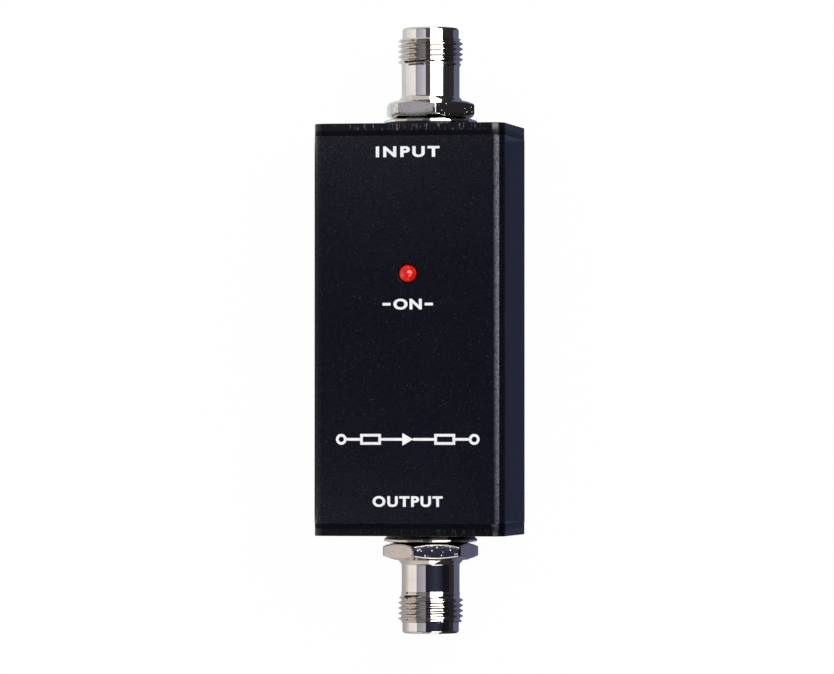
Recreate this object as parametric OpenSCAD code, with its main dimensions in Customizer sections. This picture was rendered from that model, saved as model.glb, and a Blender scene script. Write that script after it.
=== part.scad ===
// In-line aerial amplifier: an extruded case closed by two end plates, with a
// threaded coaxial jack at each end, a power lamp on the front and a circuit
// board inside. X runs across the front, Y runs towards the antenna jack and
// Z rises out of the front face. The origin is the centre of the back face.

/* [Case] */
// Width of the case across the front
case_w = 33; // [31:0.5:45]
// Depth of the case from back to front
case_d = 23.5; // [21:0.5:30]
// Length of the extruded case without its end plates
case_len = 66; // [60:0.2:120]
// Thickness of the case wall
case_wall = 1.5; // [1.2:0.1:1.9]
// Radius of the four long edges of the case
case_edge_r = 2; // [1:0.1:3]

/* [Board rails] */
// How far a board rail stands out of the side wall
rail_h = 1.2; // [0.8:0.1:1.6]
// Thickness of a board rail
rail_t = 1; // [0.7:0.1:1.5]

/* [End plates] */
// Thickness of an end plate
plate_t = 2.1; // [1.4:0.1:3]
// Radius of the corners of an end plate
plate_corner_r = 2.3; // [1.5:0.1:4]

/* [Plate screws] */
// Diameter of a plate screw over its thread
screw_d = 2.2; // [1.8:0.1:2.6]
// Diameter of the countersunk head
screw_head_d = 4.2; // [3.6:0.1:4.6]
// Length of a plate screw from the top of its head
screw_len = 8; // [5:0.5:12]
// Distance of a plate screw from the two nearest faces of the case
screw_inset = 3.3; // [3:0.1:3.8]
// Thickness of the screw channel's wall around its hole
channel_wall = 0.9; // [0.7:0.1:1.2]

/* [Jacks] */
// Distance of the jacks to the right of the case's centre line
jack_offset_x = 1.8; // [-2:0.1:2]
// Thread diameter of a jack
thread_d = 11.11; // [10.9:0.01:11.6]
// Length of the thread
thread_len = 4.85; // [3:0.05:8]
// Diameter of the plain barrel between hexagon and thread
barrel_d = 9.95; // [9.6:0.05:10.4]
// Length of the plain barrel
barrel_len = 5.2; // [3:0.1:10]
// Diameter of the nose beyond the thread
nose_d = 9.7; // [9.4:0.05:10]
// Length of the nose
nose_len = 1.9; // [1.2:0.05:4]
// Width of the hexagon across its flats
hex_af = 14.3; // [13.4:0.1:15]
// Thickness of the hexagon
hex_t = 3; // [2:0.05:4]
// Largest diameter of the cone between hexagon and barrel
cone_d = 11.6; // [11:0.1:13]
// Height of that cone
cone_h = 0.65; // [0.4:0.05:2]
// Turn of the antenna jack's hexagon, from a corner straight to the front
antenna_hex_turn = 16; // [-30:1:30]
// Turn of the receiver jack's hexagon, from a corner straight to the front
receiver_hex_turn = -12; // [-30:1:30]
// Diameter of the shank that passes through the end plate
shank_d = 9.5; // [9:0.1:10]
// Depth of the flat that keeps the shank from turning
shank_flat = 0.6; // [0.3:0.1:1]
// How far the shank stands out behind its nut
shank_tail = 0.6; // [0.4:0.1:2]

/* [Socket] */
// Diameter of the open mouth of the socket
mouth_d = 8.6; // [8.4:0.05:8.8]
// Length of the mouth
mouth_len = 3; // [2:0.1:4]
// Diameter of the socket behind its mouth
socket_d = 8.1; // [7.6:0.05:8.2]
// Depth of the socket from the rim
socket_depth = 8.4; // [7:0.1:10]
// Diameter of the insulator inside the shank
insulator_d = 6.6; // [5.5:0.1:7.4]
// Diameter of the insulator inside the socket
insulator_nose_d = 4.8; // [4:0.1:5.2]
// Distance of the insulator's front behind the rim
insulator_recess = 3.8; // [3.4:0.1:5]
// Diameter of the centre contact
contact_d = 2.2; // [1.9:0.1:2.6]
// Diameter of the bore that takes the plug's pin
contact_bore_d = 1.36; // [1.2:0.02:1.5]
// Depth of that bore
contact_bore_len = 4; // [3:0.1:6]
// Width of the slit that makes the contact springy
contact_slit = 0.2; // [0.15:0.01:0.25]
// Diameter of the contact's solder tail
tail_d = 1.27; // [0.9:0.01:1.6]
// Length of the solder tail behind the shank
tail_len = 4; // [3:0.1:6]

/* [Washers and nuts] */
// How far the hexagon's corners stand out past the washer under it
washer_step = 0.25; // [0:0.05:0.6]
// Thickness of the washer
washer_t = 1.2; // [1:0.1:2]
// Bevel on the washer's rim towards the hexagon
washer_bevel = 0.35; // [0.1:0.05:0.4]
// Bevel on the washer's rim towards the end plate
washer_back_bevel = 0.55; // [0.1:0.05:0.6]
// Width of the inner nut across its flats
nut_af = 13; // [12:0.1:14]
// Thickness of the inner nut
nut_t = 2.4; // [2:0.1:3]
// Diameter of the toothed lock washer
lock_d = 13.6; // [13:0.1:15]
// Thickness of the lock washer
lock_t = 0.6; // [0.4:0.1:1]
// Number of teeth inside the lock washer
lock_teeth = 12; // [8:1:16]

/* [Lamp] */
// Diameter of the lamp's lens
lamp_d = 3; // [2.6:0.1:4]
// Distance of the lamp from the middle of the case towards the antenna jack
lamp_y = 9.5; // [0:0.1:14]
// Height of the lens over the front face
lamp_rise = 1.3; // [0.8:0.1:2.5]
// Length of the lens with its flange
lamp_len = 5.3; // [4.5:0.1:6]
// How far the flange stands out around the lens
lamp_flange_w = 0.4; // [0.3:0.05:0.6]
// Thickness of the flange
lamp_flange_t = 1; // [0.6:0.1:1.4]
// Diameter of the spacer that carries the lens over the board
spacer_d = 4.6; // [4.2:0.1:5.4]
// Distance between the lamp's two legs
leg_pitch = 2.54; // [2:0.02:2.6]
// Thickness of a leg
leg_t = 0.5; // [0.4:0.05:0.6]
// How far the legs stand out under the board
leg_tail = 1.2; // [0.6:0.1:2]

/* [Board] */
// Thickness of the circuit board
board_t = 1.6; // [1:0.1:2]
// Thickness of a copper track
track_t = 0.07; // [0.04:0.01:0.2]
// Width of a signal track
track_w = 2.6; // [2:0.1:3]
// Distance between neighbouring rows of parts
part_pitch = 8; // [6.5:0.5:8.5]
// Room between a board rail and the parts next to it
part_margin = 2.2; // [1:0.1:3]

/* [Clearances] */
// Gap of a seated fit
fit_gap = 0.05; // [0.02:0.01:0.1]
// Gap around the board
board_gap = 0.15; // [0.1:0.05:0.3]
// Gap around the lamp in its hole
lamp_gap = 0.25; // [0.05:0.05:0.3]
// Room left between the board and the nuts
notch_gap = 0.6; // [0.4:0.1:1]

/* [Hidden] */
$fn = 64;

// Which end of the case a piece belongs to
ANTENNA = 1;
RECEIVER = -1;

// Room that a cut needs past the face it opens
over = 1;

// The ends of the case and the axis of the jacks
end_y = case_len / 2 + plate_t;
jack_z = case_d / 2;

// Heights along a jack, counted outwards from the outer face of its end plate
hex_z = washer_t;
cone_z = hex_z + hex_t;
barrel_z = cone_z + cone_h;
thread_z = barrel_z + barrel_len;
nose_z = thread_z + thread_len;
rim_z = nose_z + nose_len;
lock_z = -plate_t - lock_t;
nut_z = lock_z - nut_t;
shank_z = nut_z - shank_tail;
socket_z = rim_z - socket_depth;
insulator_z = rim_z - insulator_recess;
lip_t = 0.35;
contact_z = insulator_z - lip_t;

// Small edges that follow their piece
thread_chamfer = 0.35;
nose_chamfer = 0.3;
cone_step = 0.2;
hex_face_trim = 0.85;
hex_corner_drop = 0.7;
inner_edge_r = 0.25;

// The board lies under the solder tails, in rails on the side walls
track_top = jack_z - tail_d / 2 - fit_gap;
board_top = track_top - track_t;
board_z = board_top - board_t;
board_w = case_w - 2 * case_wall - 2 * board_gap;
board_len = case_len - 2 * board_gap;
notch_y = end_y + shank_z - notch_gap;
notch_w = 2 * (hexagon_r(nut_af) + notch_gap);

// The lamp stands on a spacer, with its lens through the front wall
lamp_top = case_d + lamp_rise;
lamp_base = lamp_top - lamp_len;
lamp_hole_r = lamp_d / 2 + lamp_gap;
flange_r = lamp_d / 2 + lamp_flange_w;
leg_hole_r = leg_t / sqrt(2) + fit_gap;

// Plate screws and their channels
screw_x = case_w / 2 - screw_inset;
screw_heights = [screw_inset, case_d - screw_inset];
screw_r = screw_d / 2;
head_h = (screw_head_d - screw_d) / 2;
channel_r = screw_r + fit_gap;
boss_r = channel_r + channel_wall;

// Sizes of the parts on the board
chip_size = [4.5, 2.5, 1.5];
regulator_size = [6.5, 3.5, 1.7];
smoother_size = [3.5, 2.8, 1.9];
lead_w = 0.5;
lead_t = 0.4;
lead_len = 0.9;
choke_r = 2.4;
choke_winding_r = 2.05;
choke_h = 3.6;
choke_flange_t = 0.7;
small_part_l = 2;
small_part_w = 1.25;
capacitor_h = 0.9;
resistor_h = 0.55;
end_cap_l = 0.4;
end_cap_grow = 0.03;

// Places of those parts: rows are counted from the lamp, columns from the rails
chip_y = (lamp_y + notch_y) / 2;
column_x = board_w / 2 - rail_h - part_margin;
left_x = regulator_size.x / 2 - column_x;
right_x = column_x - small_part_w / 2;
bypass_x = spacer_d / 2 + track_w;

// Place of a row of parts along the board
function row_y(row) = lamp_y - row * part_pitch;

// Distance of a hexagon's corners from its centre
function hexagon_r(across_flats) = across_flats / 2 / cos(30);

// A rectangle with round corners, standing on the X axis
module rounded_panel(w, d, r) {
    translate([-w / 2 + r, 0]) square([w - 2 * r, d]);
    translate([-w / 2, r]) square([w, d - 2 * r]);
    for (x = [-w / 2 + r, w / 2 - r], y = [r, d - r])
        translate([x, y]) circle(r);
}

// Stands an outline drawn in X and Z along the case, centred on a place in Y
module along_case(length, y = 0) {
    translate([0, y, 0])
        rotate([90, 0, 0])
            linear_extrude(length, center = true) children();
}

// Puts a piece drawn upwards on the jack axis at one end, from the plate's outer face
module at_jack(side) {
    translate([jack_offset_x, side * end_y, jack_z])
        rotate([-90 * side, 0, 0]) children();
}

// Puts a piece drawn upwards on each of the four plate screws of one end
module at_screws(side) {
    for (x = [-screw_x, screw_x], z = screw_heights)
        translate([x, side * end_y, z])
            rotate([-90 * side, 0, 0]) children();
}

// A hexagon whose corners are cut by a cone at both faces
module chamfered_hexagon(across_flats, thickness) {
    corner_r = hexagon_r(across_flats);
    face_r = across_flats / 2 - hex_face_trim;
    intersection() {
        cylinder(h = thickness, r = corner_r, $fn = 6);
        rotate_extrude()
            polygon([
                [0, 0], [face_r, 0], [corner_r, hex_corner_drop],
                [corner_r, thickness - hex_corner_drop], [face_r, thickness], [0, thickness]
            ]);
    }
}

// A shaft outline with one flat side towards X
module flatted_circle(r, flat) {
    difference() {
        circle(r);
        translate([r - flat, -r]) square([2 * r, 2 * r]);
    }
}

// The screw channel in one corner, joined to both walls next to it
module channel_outline(x, z) {
    to_side = x < 0 ? -screw_inset : 0;
    to_face = z < case_d / 2 ? -screw_inset : 0;
    translate([x, z]) {
        circle(boss_r);
        translate([to_side, -boss_r]) square([screw_inset, 2 * boss_r]);
        translate([-boss_r, to_face]) square([2 * boss_r, screw_inset]);
    }
}

// The two rails that hold one edge of the board
module rail_outline(side) {
    wall_x = side * (case_w / 2 - case_wall);
    for (z = [board_z - board_gap - rail_t, board_top + board_gap])
        translate([side > 0 ? wall_x - rail_h : wall_x - case_wall / 2, z])
            square([rail_h + case_wall / 2, rail_t]);
}

// The section of the extrusion: wall, screw channels and board rails
module case_outline() {
    inner_r = max(case_edge_r - case_wall, inner_edge_r);
    difference() {
        intersection() {
            rounded_panel(case_w, case_d, case_edge_r);
            union() {
                difference() {
                    rounded_panel(case_w, case_d, case_edge_r);
                    translate([0, case_wall])
                        rounded_panel(case_w - 2 * case_wall, case_d - 2 * case_wall, inner_r);
                }
                for (x = [-screw_x, screw_x], z = screw_heights) channel_outline(x, z);
                for (side = [-1, 1]) rail_outline(side);
            }
        }
        for (x = [-screw_x, screw_x], z = screw_heights)
            translate([x, z]) circle(channel_r);
    }
}

// The extruded case, open at both ends, with the lamp's hole in its front
module case_tube() {
    color([0.05, 0.05, 0.07])
        difference() {
            along_case(case_len) case_outline();
            translate([0, lamp_y, case_d - case_wall - over])
                cylinder(h = case_wall + 2 * over, r = lamp_hole_r);
        }
}

// A flat end plate with the jack's flatted hole and four countersunk holes
module end_plate(side) {
    color([0.06, 0.06, 0.08])
        difference() {
            along_case(plate_t, side * (case_len + plate_t) / 2)
                rounded_panel(case_w, case_d, plate_corner_r);
            at_jack(side)
                translate([0, 0, -plate_t - over])
                    linear_extrude(plate_t + 2 * over)
                        flatted_circle(shank_d / 2 + fit_gap, shank_flat);
            at_screws(side) {
                translate([0, 0, -plate_t - over])
                    cylinder(h = plate_t + 2 * over, r = channel_r);
                translate([0, 0, -head_h])
                    cylinder(h = head_h, r1 = channel_r, r2 = screw_head_d / 2 + fit_gap);
            }
        }
}

// Countersunk screws with a cross recess
module plate_screws(side) {
    recess_w = screw_d / 4;
    recess_len = screw_head_d * 0.6;
    recess_depth = head_h * 0.8;
    color([0.1, 0.1, 0.11])
        at_screws(side)
            difference() {
                union() {
                    translate([0, 0, -head_h])
                        cylinder(h = head_h, r1 = screw_r, r2 = screw_head_d / 2);
                    translate([0, 0, -screw_len])
                        cylinder(h = screw_len - head_h, r = screw_r);
                }
                for (turn = [0, 90])
                    rotate([0, 0, turn])
                        translate([-recess_len / 2, -recess_w / 2, -recess_depth])
                            cube([recess_len, recess_w, recess_depth + over]);
            }
}

// The turned outside of a jack: shank, cone, barrel, thread and nose
module jack_turning() {
    shank_r = shank_d / 2;
    barrel_r = barrel_d / 2;
    thread_r = thread_d / 2;
    nose_r = nose_d / 2;
    rotate_extrude()
        polygon([
            [0, shank_z], [shank_r, shank_z], [shank_r, cone_z], [cone_d / 2, cone_z],
            [barrel_r + cone_step, barrel_z], [barrel_r, barrel_z],
            [barrel_r, thread_z], [thread_r - thread_chamfer, thread_z],
            [thread_r, thread_z + thread_chamfer], [thread_r, nose_z - thread_chamfer],
            [thread_r - thread_chamfer, nose_z], [nose_r, nose_z],
            [nose_r, rim_z - nose_chamfer], [nose_r - nose_chamfer, rim_z], [0, rim_z]
        ]);
}

// The stepped hole through a jack: mouth, socket and the insulator's seat
module jack_hole() {
    rotate_extrude()
        polygon([
            [0, shank_z - over], [insulator_d / 2, shank_z - over],
            [insulator_d / 2, socket_z], [socket_d / 2, socket_z],
            [socket_d / 2, rim_z - mouth_len], [mouth_d / 2, rim_z - mouth_len],
            [mouth_d / 2, rim_z + over], [0, rim_z + over]
        ]);
}

// A jack body turned from hexagon bar
module jack_body(side, hex_turn) {
    shank_r = shank_d / 2;
    color([0.78, 0.76, 0.73])
        at_jack(side)
            difference() {
                union() {
                    translate([0, 0, hex_z])
                        rotate([0, 0, 30 + side * hex_turn])
                            chamfered_hexagon(hex_af, hex_t);
                    jack_turning();
                }
                jack_hole();
                translate([shank_r - shank_flat - fit_gap, -shank_r, shank_z - over])
                    cube([shank_r, shank_d, hex_z - shank_z + over]);
            }
}

// The white insulator, thick in the shank and slim in the socket
module insulator(side) {
    seat_r = insulator_d / 2 - fit_gap;
    nose_r = insulator_nose_d / 2;
    core_r = contact_d / 2 + fit_gap;
    lip_r = (contact_bore_d + contact_d) / 4;
    color([0.93, 0.93, 0.9])
        at_jack(side)
            rotate_extrude()
                polygon([
                    [core_r, shank_z], [seat_r, shank_z], [seat_r, socket_z], [nose_r, socket_z],
                    [nose_r, insulator_z], [lip_r, insulator_z],
                    [lip_r, contact_z + fit_gap], [core_r, contact_z + fit_gap]
                ]);
}

// The slit centre contact with its solder tail
module contact(side) {
    bore_z = contact_z - contact_bore_len;
    color([0.83, 0.66, 0.28])
        at_jack(side)
            difference() {
                rotate_extrude()
                    polygon([
                        [0, shank_z - tail_len], [tail_d / 2, shank_z - tail_len],
                        [tail_d / 2, shank_z], [contact_d / 2, shank_z],
                        [contact_d / 2, contact_z], [contact_bore_d / 2, contact_z],
                        [contact_bore_d / 2, bore_z], [0, bore_z]
                    ]);
                translate([-contact_d, -contact_slit / 2, bore_z])
                    cube([2 * contact_d, contact_slit, contact_bore_len + over]);
            }
}

// The bevelled washer between the hexagon and the end plate
module washer(side) {
    hole_r = shank_d / 2 + fit_gap;
    rim_r = hexagon_r(hex_af) - washer_step;
    color([0.75, 0.74, 0.72])
        at_jack(side)
            rotate_extrude()
                polygon([
                    [hole_r, 0], [rim_r - washer_back_bevel, 0], [rim_r, washer_back_bevel],
                    [rim_r, washer_t - washer_bevel], [rim_r - washer_bevel, washer_t],
                    [hole_r, washer_t]
                ]);
}

// The lock washer inside the case, with teeth that point to the shank
module lock_washer(side) {
    hole_r = shank_d / 2 + fit_gap;
    rim_r = lock_d / 2;
    ring_r = (hole_r + rim_r) / 2;
    tooth_w = PI * hole_r / lock_teeth;
    color([0.7, 0.69, 0.66])
        at_jack(side)
            translate([0, 0, lock_z])
                linear_extrude(lock_t)
                    difference() {
                        union() {
                            difference() {
                                circle(rim_r);
                                circle(ring_r);
                            }
                            for (tooth = [0 : lock_teeth - 1])
                                rotate(tooth * 360 / lock_teeth)
                                    translate([0, -tooth_w / 2]) square([(ring_r + rim_r) / 2, tooth_w]);
                        }
                        circle(hole_r);
                    }
}

// The nut that draws the jack against its end plate
module nut(side) {
    color([0.75, 0.74, 0.72])
        at_jack(side)
            translate([0, 0, nut_z])
                difference() {
                    rotate([0, 0, 30]) chamfered_hexagon(nut_af, nut_t);
                    translate([0, 0, -over]) cylinder(h = nut_t + 2 * over, r = shank_d / 2 + fit_gap);
                }
}

// The board slides along the rails and is notched at both ends for the nuts
module circuit_board() {
    color([0.1, 0.36, 0.18])
        translate([0, 0, board_z])
            linear_extrude(board_t)
                difference() {
                    square([board_w, board_len], center = true);
                    for (side = [ANTENNA, RECEIVER])
                        translate([jack_offset_x, side * (notch_y + board_len / 2)])
                            square([notch_w, board_len], center = true);
                    for (x = [-leg_pitch / 2, leg_pitch / 2])
                        translate([x, lamp_y]) circle(leg_hole_r);
                }
}

// The signal path: from the antenna tail to the chip, then past the lamp to the receiver tail
module copper_tracks() {
    jog = bypass_x - jack_offset_x;
    upper_y = chip_y - chip_size.y / 2;
    lower_y = row_y(3);
    color([0.72, 0.45, 0.2])
        translate([jack_offset_x - track_w / 2, 0, board_top])
            linear_extrude(track_t) {
                translate([0, chip_y + chip_size.y / 2])
                    square([track_w, notch_y - chip_y - chip_size.y / 2]);
                translate([0, upper_y - track_w]) square([jog + track_w, track_w]);
                translate([jog, lower_y]) square([track_w, upper_y - lower_y]);
                translate([0, lower_y]) square([jog + track_w, track_w]);
                translate([0, -notch_y]) square([track_w, notch_y + lower_y + track_w]);
            }
}

// A moulded chip body with leads along its two long sides
module moulded_chip(size, leads) {
    translate([-size.x / 2, -size.y / 2, lead_t / 4]) cube([size.x, size.y, size.z - lead_t / 4]);
    for (side = [-1, 1], lead = [0 : leads - 1])
        translate([(lead + 0.5) * size.x / leads - size.x / 2, side * (size.y + lead_len) / 2, lead_t / 2])
            cube([lead_w, lead_len + lead_t, lead_t], center = true);
}

// The chip that amplifies the signal, in line with the jacks
module amplifier_chip() {
    color([0.12, 0.12, 0.13])
        translate([jack_offset_x, chip_y, track_top]) moulded_chip(chip_size, 3);
}

// The regulator that feeds the chip and the lamp
module voltage_regulator() {
    color([0.12, 0.12, 0.13])
        translate([left_x, row_y(2), track_top]) moulded_chip(regulator_size, 3);
}

// A drum core with its winding between two flanges
module bias_choke() {
    color([0.3, 0.2, 0.14])
        translate([left_x, chip_y, track_top])
            rotate_extrude()
                polygon([
                    [0, 0], [choke_r, 0], [choke_r, choke_flange_t], [choke_winding_r, choke_flange_t],
                    [choke_winding_r, choke_h - choke_flange_t], [choke_r, choke_h - choke_flange_t],
                    [choke_r, choke_h], [0, choke_h]
                ]);
}

// The larger capacitor beside the regulator
module smoothing_capacitor() {
    color([0.85, 0.62, 0.16])
        translate([left_x, row_y(3), track_top]) moulded_chip(smoother_size, 1);
}

// A small surface part with a cap on each end
module small_part(height) {
    translate([0, 0, height / 2]) {
        cube([small_part_l, small_part_w, height], center = true);
        for (side = [-1, 1])
            translate([side * (small_part_l - end_cap_l) / 2, 0, 0])
                cube([end_cap_l, small_part_w + end_cap_grow, height], center = true);
    }
}

// A column of small capacitors along the right rail
module chip_capacitors() {
    color([0.62, 0.5, 0.38])
        for (row = [-1 : 3])
            translate([right_x, row_y(row), track_top]) rotate(90) small_part(capacitor_h);
}

// Small resistors in the middle of the board, below the lamp
module chip_resistors() {
    color([0.16, 0.16, 0.18])
        for (row = [1, 1.5, 2])
            translate([0, row_y(row), track_top]) small_part(resistor_h);
}

// The round lens with a flange cut flat on one side
module lamp_lens() {
    lens_r = lamp_d / 2;
    color([0.86, 0.08, 0.06])
        translate([0, lamp_y, lamp_base])
            difference() {
                union() {
                    cylinder(h = lamp_flange_t, r = flange_r);
                    cylinder(h = lamp_len - lens_r, r = lens_r);
                    translate([0, 0, lamp_len - lens_r]) sphere(lens_r);
                }
                translate([(lens_r + flange_r) / 2, -flange_r, -over])
                    cube([flange_r, 2 * flange_r, lamp_flange_t + over]);
            }
}

// Two square legs from the lens down through the board
module lamp_legs() {
    legs_z = board_z - leg_tail;
    color([0.72, 0.72, 0.72])
        for (x = [-leg_pitch / 2, leg_pitch / 2])
            translate([x - leg_t / 2, lamp_y - leg_t / 2, legs_z])
                cube([leg_t, leg_t, lamp_base - legs_z]);
}

// The spacer that holds the lens at its height over the board
module lamp_spacer() {
    color([0.88, 0.87, 0.82])
        translate([0, lamp_y, board_top])
            difference() {
                cylinder(h = lamp_base - board_top, r = spacer_d / 2);
                for (x = [-leg_pitch / 2, leg_pitch / 2])
                    translate([x, 0, -over])
                        cylinder(h = lamp_base - board_top + 2 * over, r = leg_hole_r);
            }
}

case_tube();
end_plate(ANTENNA);  // antenna_end_plate
end_plate(RECEIVER);  // receiver_end_plate
plate_screws(ANTENNA);  // antenna_plate_screws
plate_screws(RECEIVER);  // receiver_plate_screws
jack_body(ANTENNA, antenna_hex_turn);  // antenna_jack_body
jack_body(RECEIVER, receiver_hex_turn);  // receiver_jack_body
insulator(ANTENNA);  // antenna_insulator
insulator(RECEIVER);  // receiver_insulator
contact(ANTENNA);  // antenna_contact
contact(RECEIVER);  // receiver_contact
washer(ANTENNA);  // antenna_washer
washer(RECEIVER);  // receiver_washer
lock_washer(ANTENNA);  // antenna_lock_washer
lock_washer(RECEIVER);  // receiver_lock_washer
nut(ANTENNA);  // antenna_nut
nut(RECEIVER);  // receiver_nut
circuit_board();
copper_tracks();
amplifier_chip();
voltage_regulator();
bias_choke();
smoothing_capacitor();
chip_capacitors();
chip_resistors();
lamp_lens();
lamp_legs();
lamp_spacer();
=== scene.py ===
# %% [markdown]
# # Dressing an in-line aerial amplifier
# The object is a small black box for the cable between an aerial and a receiver. It has an extruded
# aluminium case, two end plates, a plated jack at each end and a red lamp on the front. The CAD model
# already gives every size, so this lesson only gives the pieces their finer shapes and their finish.

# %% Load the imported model
import math

import bmesh
import bpy
from mathutils import Matrix, Vector


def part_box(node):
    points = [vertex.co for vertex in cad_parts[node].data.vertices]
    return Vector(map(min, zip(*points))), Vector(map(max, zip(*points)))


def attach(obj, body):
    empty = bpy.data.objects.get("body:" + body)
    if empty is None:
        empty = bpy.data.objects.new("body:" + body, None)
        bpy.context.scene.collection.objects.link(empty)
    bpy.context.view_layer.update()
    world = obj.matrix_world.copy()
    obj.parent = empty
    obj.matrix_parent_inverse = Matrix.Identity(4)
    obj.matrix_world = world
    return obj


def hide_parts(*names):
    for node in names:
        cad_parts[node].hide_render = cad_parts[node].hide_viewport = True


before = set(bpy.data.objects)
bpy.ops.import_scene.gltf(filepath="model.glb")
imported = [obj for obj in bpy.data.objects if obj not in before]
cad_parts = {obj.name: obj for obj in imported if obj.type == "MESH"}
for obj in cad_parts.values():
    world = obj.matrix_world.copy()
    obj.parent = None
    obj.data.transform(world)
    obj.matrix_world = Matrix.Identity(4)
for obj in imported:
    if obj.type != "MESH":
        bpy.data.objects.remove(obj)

MM = 0.001
scene = bpy.context.scene
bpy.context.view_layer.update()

# %% [markdown]
# X runs across the front, Y runs towards the antenna jack and Z rises out of the front face. A few
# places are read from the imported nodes, so that every piece below sits where the CAD model says. The
# washers are round, so the middle of a washer's box lies on the axis of the jacks.

# %% Places on the object
ENDS = (("antenna", 1), ("receiver", -1))
case_low, case_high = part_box("case_tube")
front_z = case_high.z
case_end_y = case_high.y
plate_face_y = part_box("antenna_end_plate")[1].y
washer_low, washer_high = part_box("antenna_washer")
jack_x = (washer_low.x + washer_high.x) / 2
jack_z = (washer_low.z + washer_high.z) / 2
print("front at", round(front_z / MM, 2), "mm, jacks at x", round(jack_x / MM, 2), "mm")

# %% [markdown]
# The photograph looks straight down on the front from far away, about ten degrees from the right. A
# long lens on a distant camera gives that flat perspective. The camera is aimed a little below the
# middle of the front, so no lens shift is needed.

# %% Camera
VIEW_TURN = math.radians(10.65)
VIEW_DISTANCE = 1.0
EYE_Y = -16 * MM
FRAME_PX = 834
FOCAL_PX = 5892
SENSOR = 36
AIM_RIGHT, AIM_UP = 1.59 * MM, -1.28 * MM

to_camera = Vector((math.sin(VIEW_TURN), 0, math.cos(VIEW_TURN)))
to_right = Vector((math.cos(VIEW_TURN), 0, -math.sin(VIEW_TURN)))
front_centre = Vector((0, 0, front_z))
eye = front_centre + to_camera * VIEW_DISTANCE + Vector((0, EYE_Y, 0))
aim = front_centre + to_right * AIM_RIGHT + Vector((0, AIM_UP, 0))
camera = bpy.data.objects.new("camera", bpy.data.cameras.new("camera"))
camera.data.sensor_width = SENSOR
camera.data.lens = SENSOR * FOCAL_PX / FRAME_PX
backward = (eye - aim).normalized()
sideways = Vector((0, 1, 0)).cross(backward).normalized()
upward = backward.cross(sideways)
turn = Matrix((sideways, upward, backward)).transposed().to_4x4()
camera.matrix_world = Matrix.Translation(eye) @ turn
scene.collection.objects.link(camera)
scene.camera = camera
scene.view_settings.view_transform = "Standard"
print("lens", round(camera.data.lens, 1), "mm at", VIEW_DISTANCE, "m")

# %% [markdown]
# Every finish below is a small tree of shader nodes. One helper puts a node into a tree and fills its
# inputs. An input is given either a constant or the output of another node, which is then linked.

# %% A helper for shader nodes
def put(tree, kind, inputs=None, **settings):
    made = tree.nodes.new("ShaderNode" + kind)
    for name, value in settings.items():
        setattr(made, name, value)
    for name, value in (inputs or {}).items():
        if isinstance(value, bpy.types.NodeSocket):
            tree.links.new(value, made.inputs[name])
        else:
            made.inputs[name].default_value = value
    return made

# %% [markdown]
# The same few steps come back in most trees: sums, ramps that turn a measure into a mask, blends of two
# colours, and the spot on the piece in metres. Helpers for them keep the finishes short.

# %% Helpers for values
def combine(tree, operation, first, second):
    return put(tree, "Math", {0: first, 1: second}, operation=operation).outputs[0]


def distance_from(tree, value, middle=0.0):
    off = combine(tree, "SUBTRACT", value, middle)
    return put(tree, "Math", {0: off}, operation="ABSOLUTE").outputs[0]


def ramp(tree, value, start, end, low=0.0, high=1.0):
    return put(tree, "MapRange", {"Value": value, "From Min": start, "From Max": end,
                                  "To Min": low, "To Max": high}).outputs[0]


def blend(tree, share, first, second):
    return put(tree, "Mix", {0: share, 6: first, 7: second}, data_type="RGBA").outputs[2]


def object_spot(tree):
    return put(tree, "SeparateXYZ", {"Vector": put(tree, "TexCoord").outputs["Object"]}).outputs

# %% [markdown]
# The background is white. It could be lit until it clips, but that would flood the object with light.
# So the world shows plain white to the lens and to metal, while the light that it throws on the object
# stays soft. The Light Path node tells these rays apart.

# %% World
SOFT_LIGHT = 0.72


def seen_through_lens(tree, path):
    return combine(tree, "MAXIMUM", path.outputs["Is Camera Ray"], path.outputs["Is Transmission Ray"])


world = bpy.data.worlds.new("studio")
world.use_nodes = True
scene.world = world
tree = world.node_tree
path = put(tree, "LightPath")
shown = combine(tree, "MAXIMUM", seen_through_lens(tree, path), path.outputs["Is Glossy Ray"])
background = tree.nodes["Background"]
background.inputs["Color"].default_value = (1, 1, 1, 1)
tree.links.new(ramp(tree, shown, 0, 1, SOFT_LIGHT, 1.0), background.inputs["Strength"])
print("world light", SOFT_LIGHT)

# %% [markdown]
# The object lies on white paper. The paper glows plain white to the lens, mixed with a little white
# paint, which keeps the object's shadow. Metal sees more of that paint, because its lower half mirrors
# the shaded paper close by.

# %% Floor
FLOOR_HALF = 3.0
FLOOR_GAP = 0.05 * MM
LENS_GLOW, METAL_GLOW = 0.98, 0.35
FIBRES_PER_MM = 0.9
PAPER_DARK, PAPER_LIGHT = 0.9, 0.94

paper = bpy.data.materials.new("white_paper")
paper.use_nodes = True
tree = paper.node_tree
tree.nodes.remove(tree.nodes["Principled BSDF"])
fibres = put(tree, "TexNoise", {"Vector": put(tree, "TexCoord").outputs["Object"],
                                "Scale": FIBRES_PER_MM / MM})
tone = ramp(tree, fibres.outputs["Fac"], 0, 1, PAPER_DARK, PAPER_LIGHT)
matt = put(tree, "BsdfDiffuse", {"Color": tone})
glow = put(tree, "Emission", {"Color": (1, 1, 1, 1), "Strength": 1.0})
path = put(tree, "LightPath")
to_lens = combine(tree, "MULTIPLY", seen_through_lens(tree, path), LENS_GLOW)
to_metal = combine(tree, "MULTIPLY", path.outputs["Is Glossy Ray"], METAL_GLOW)
share = combine(tree, "MAXIMUM", to_lens, to_metal)
mixed = put(tree, "MixShader", {0: share, 1: matt.outputs[0], 2: glow.outputs[0]})
tree.links.new(mixed.outputs[0], tree.nodes["Material Output"].inputs["Surface"])

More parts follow.
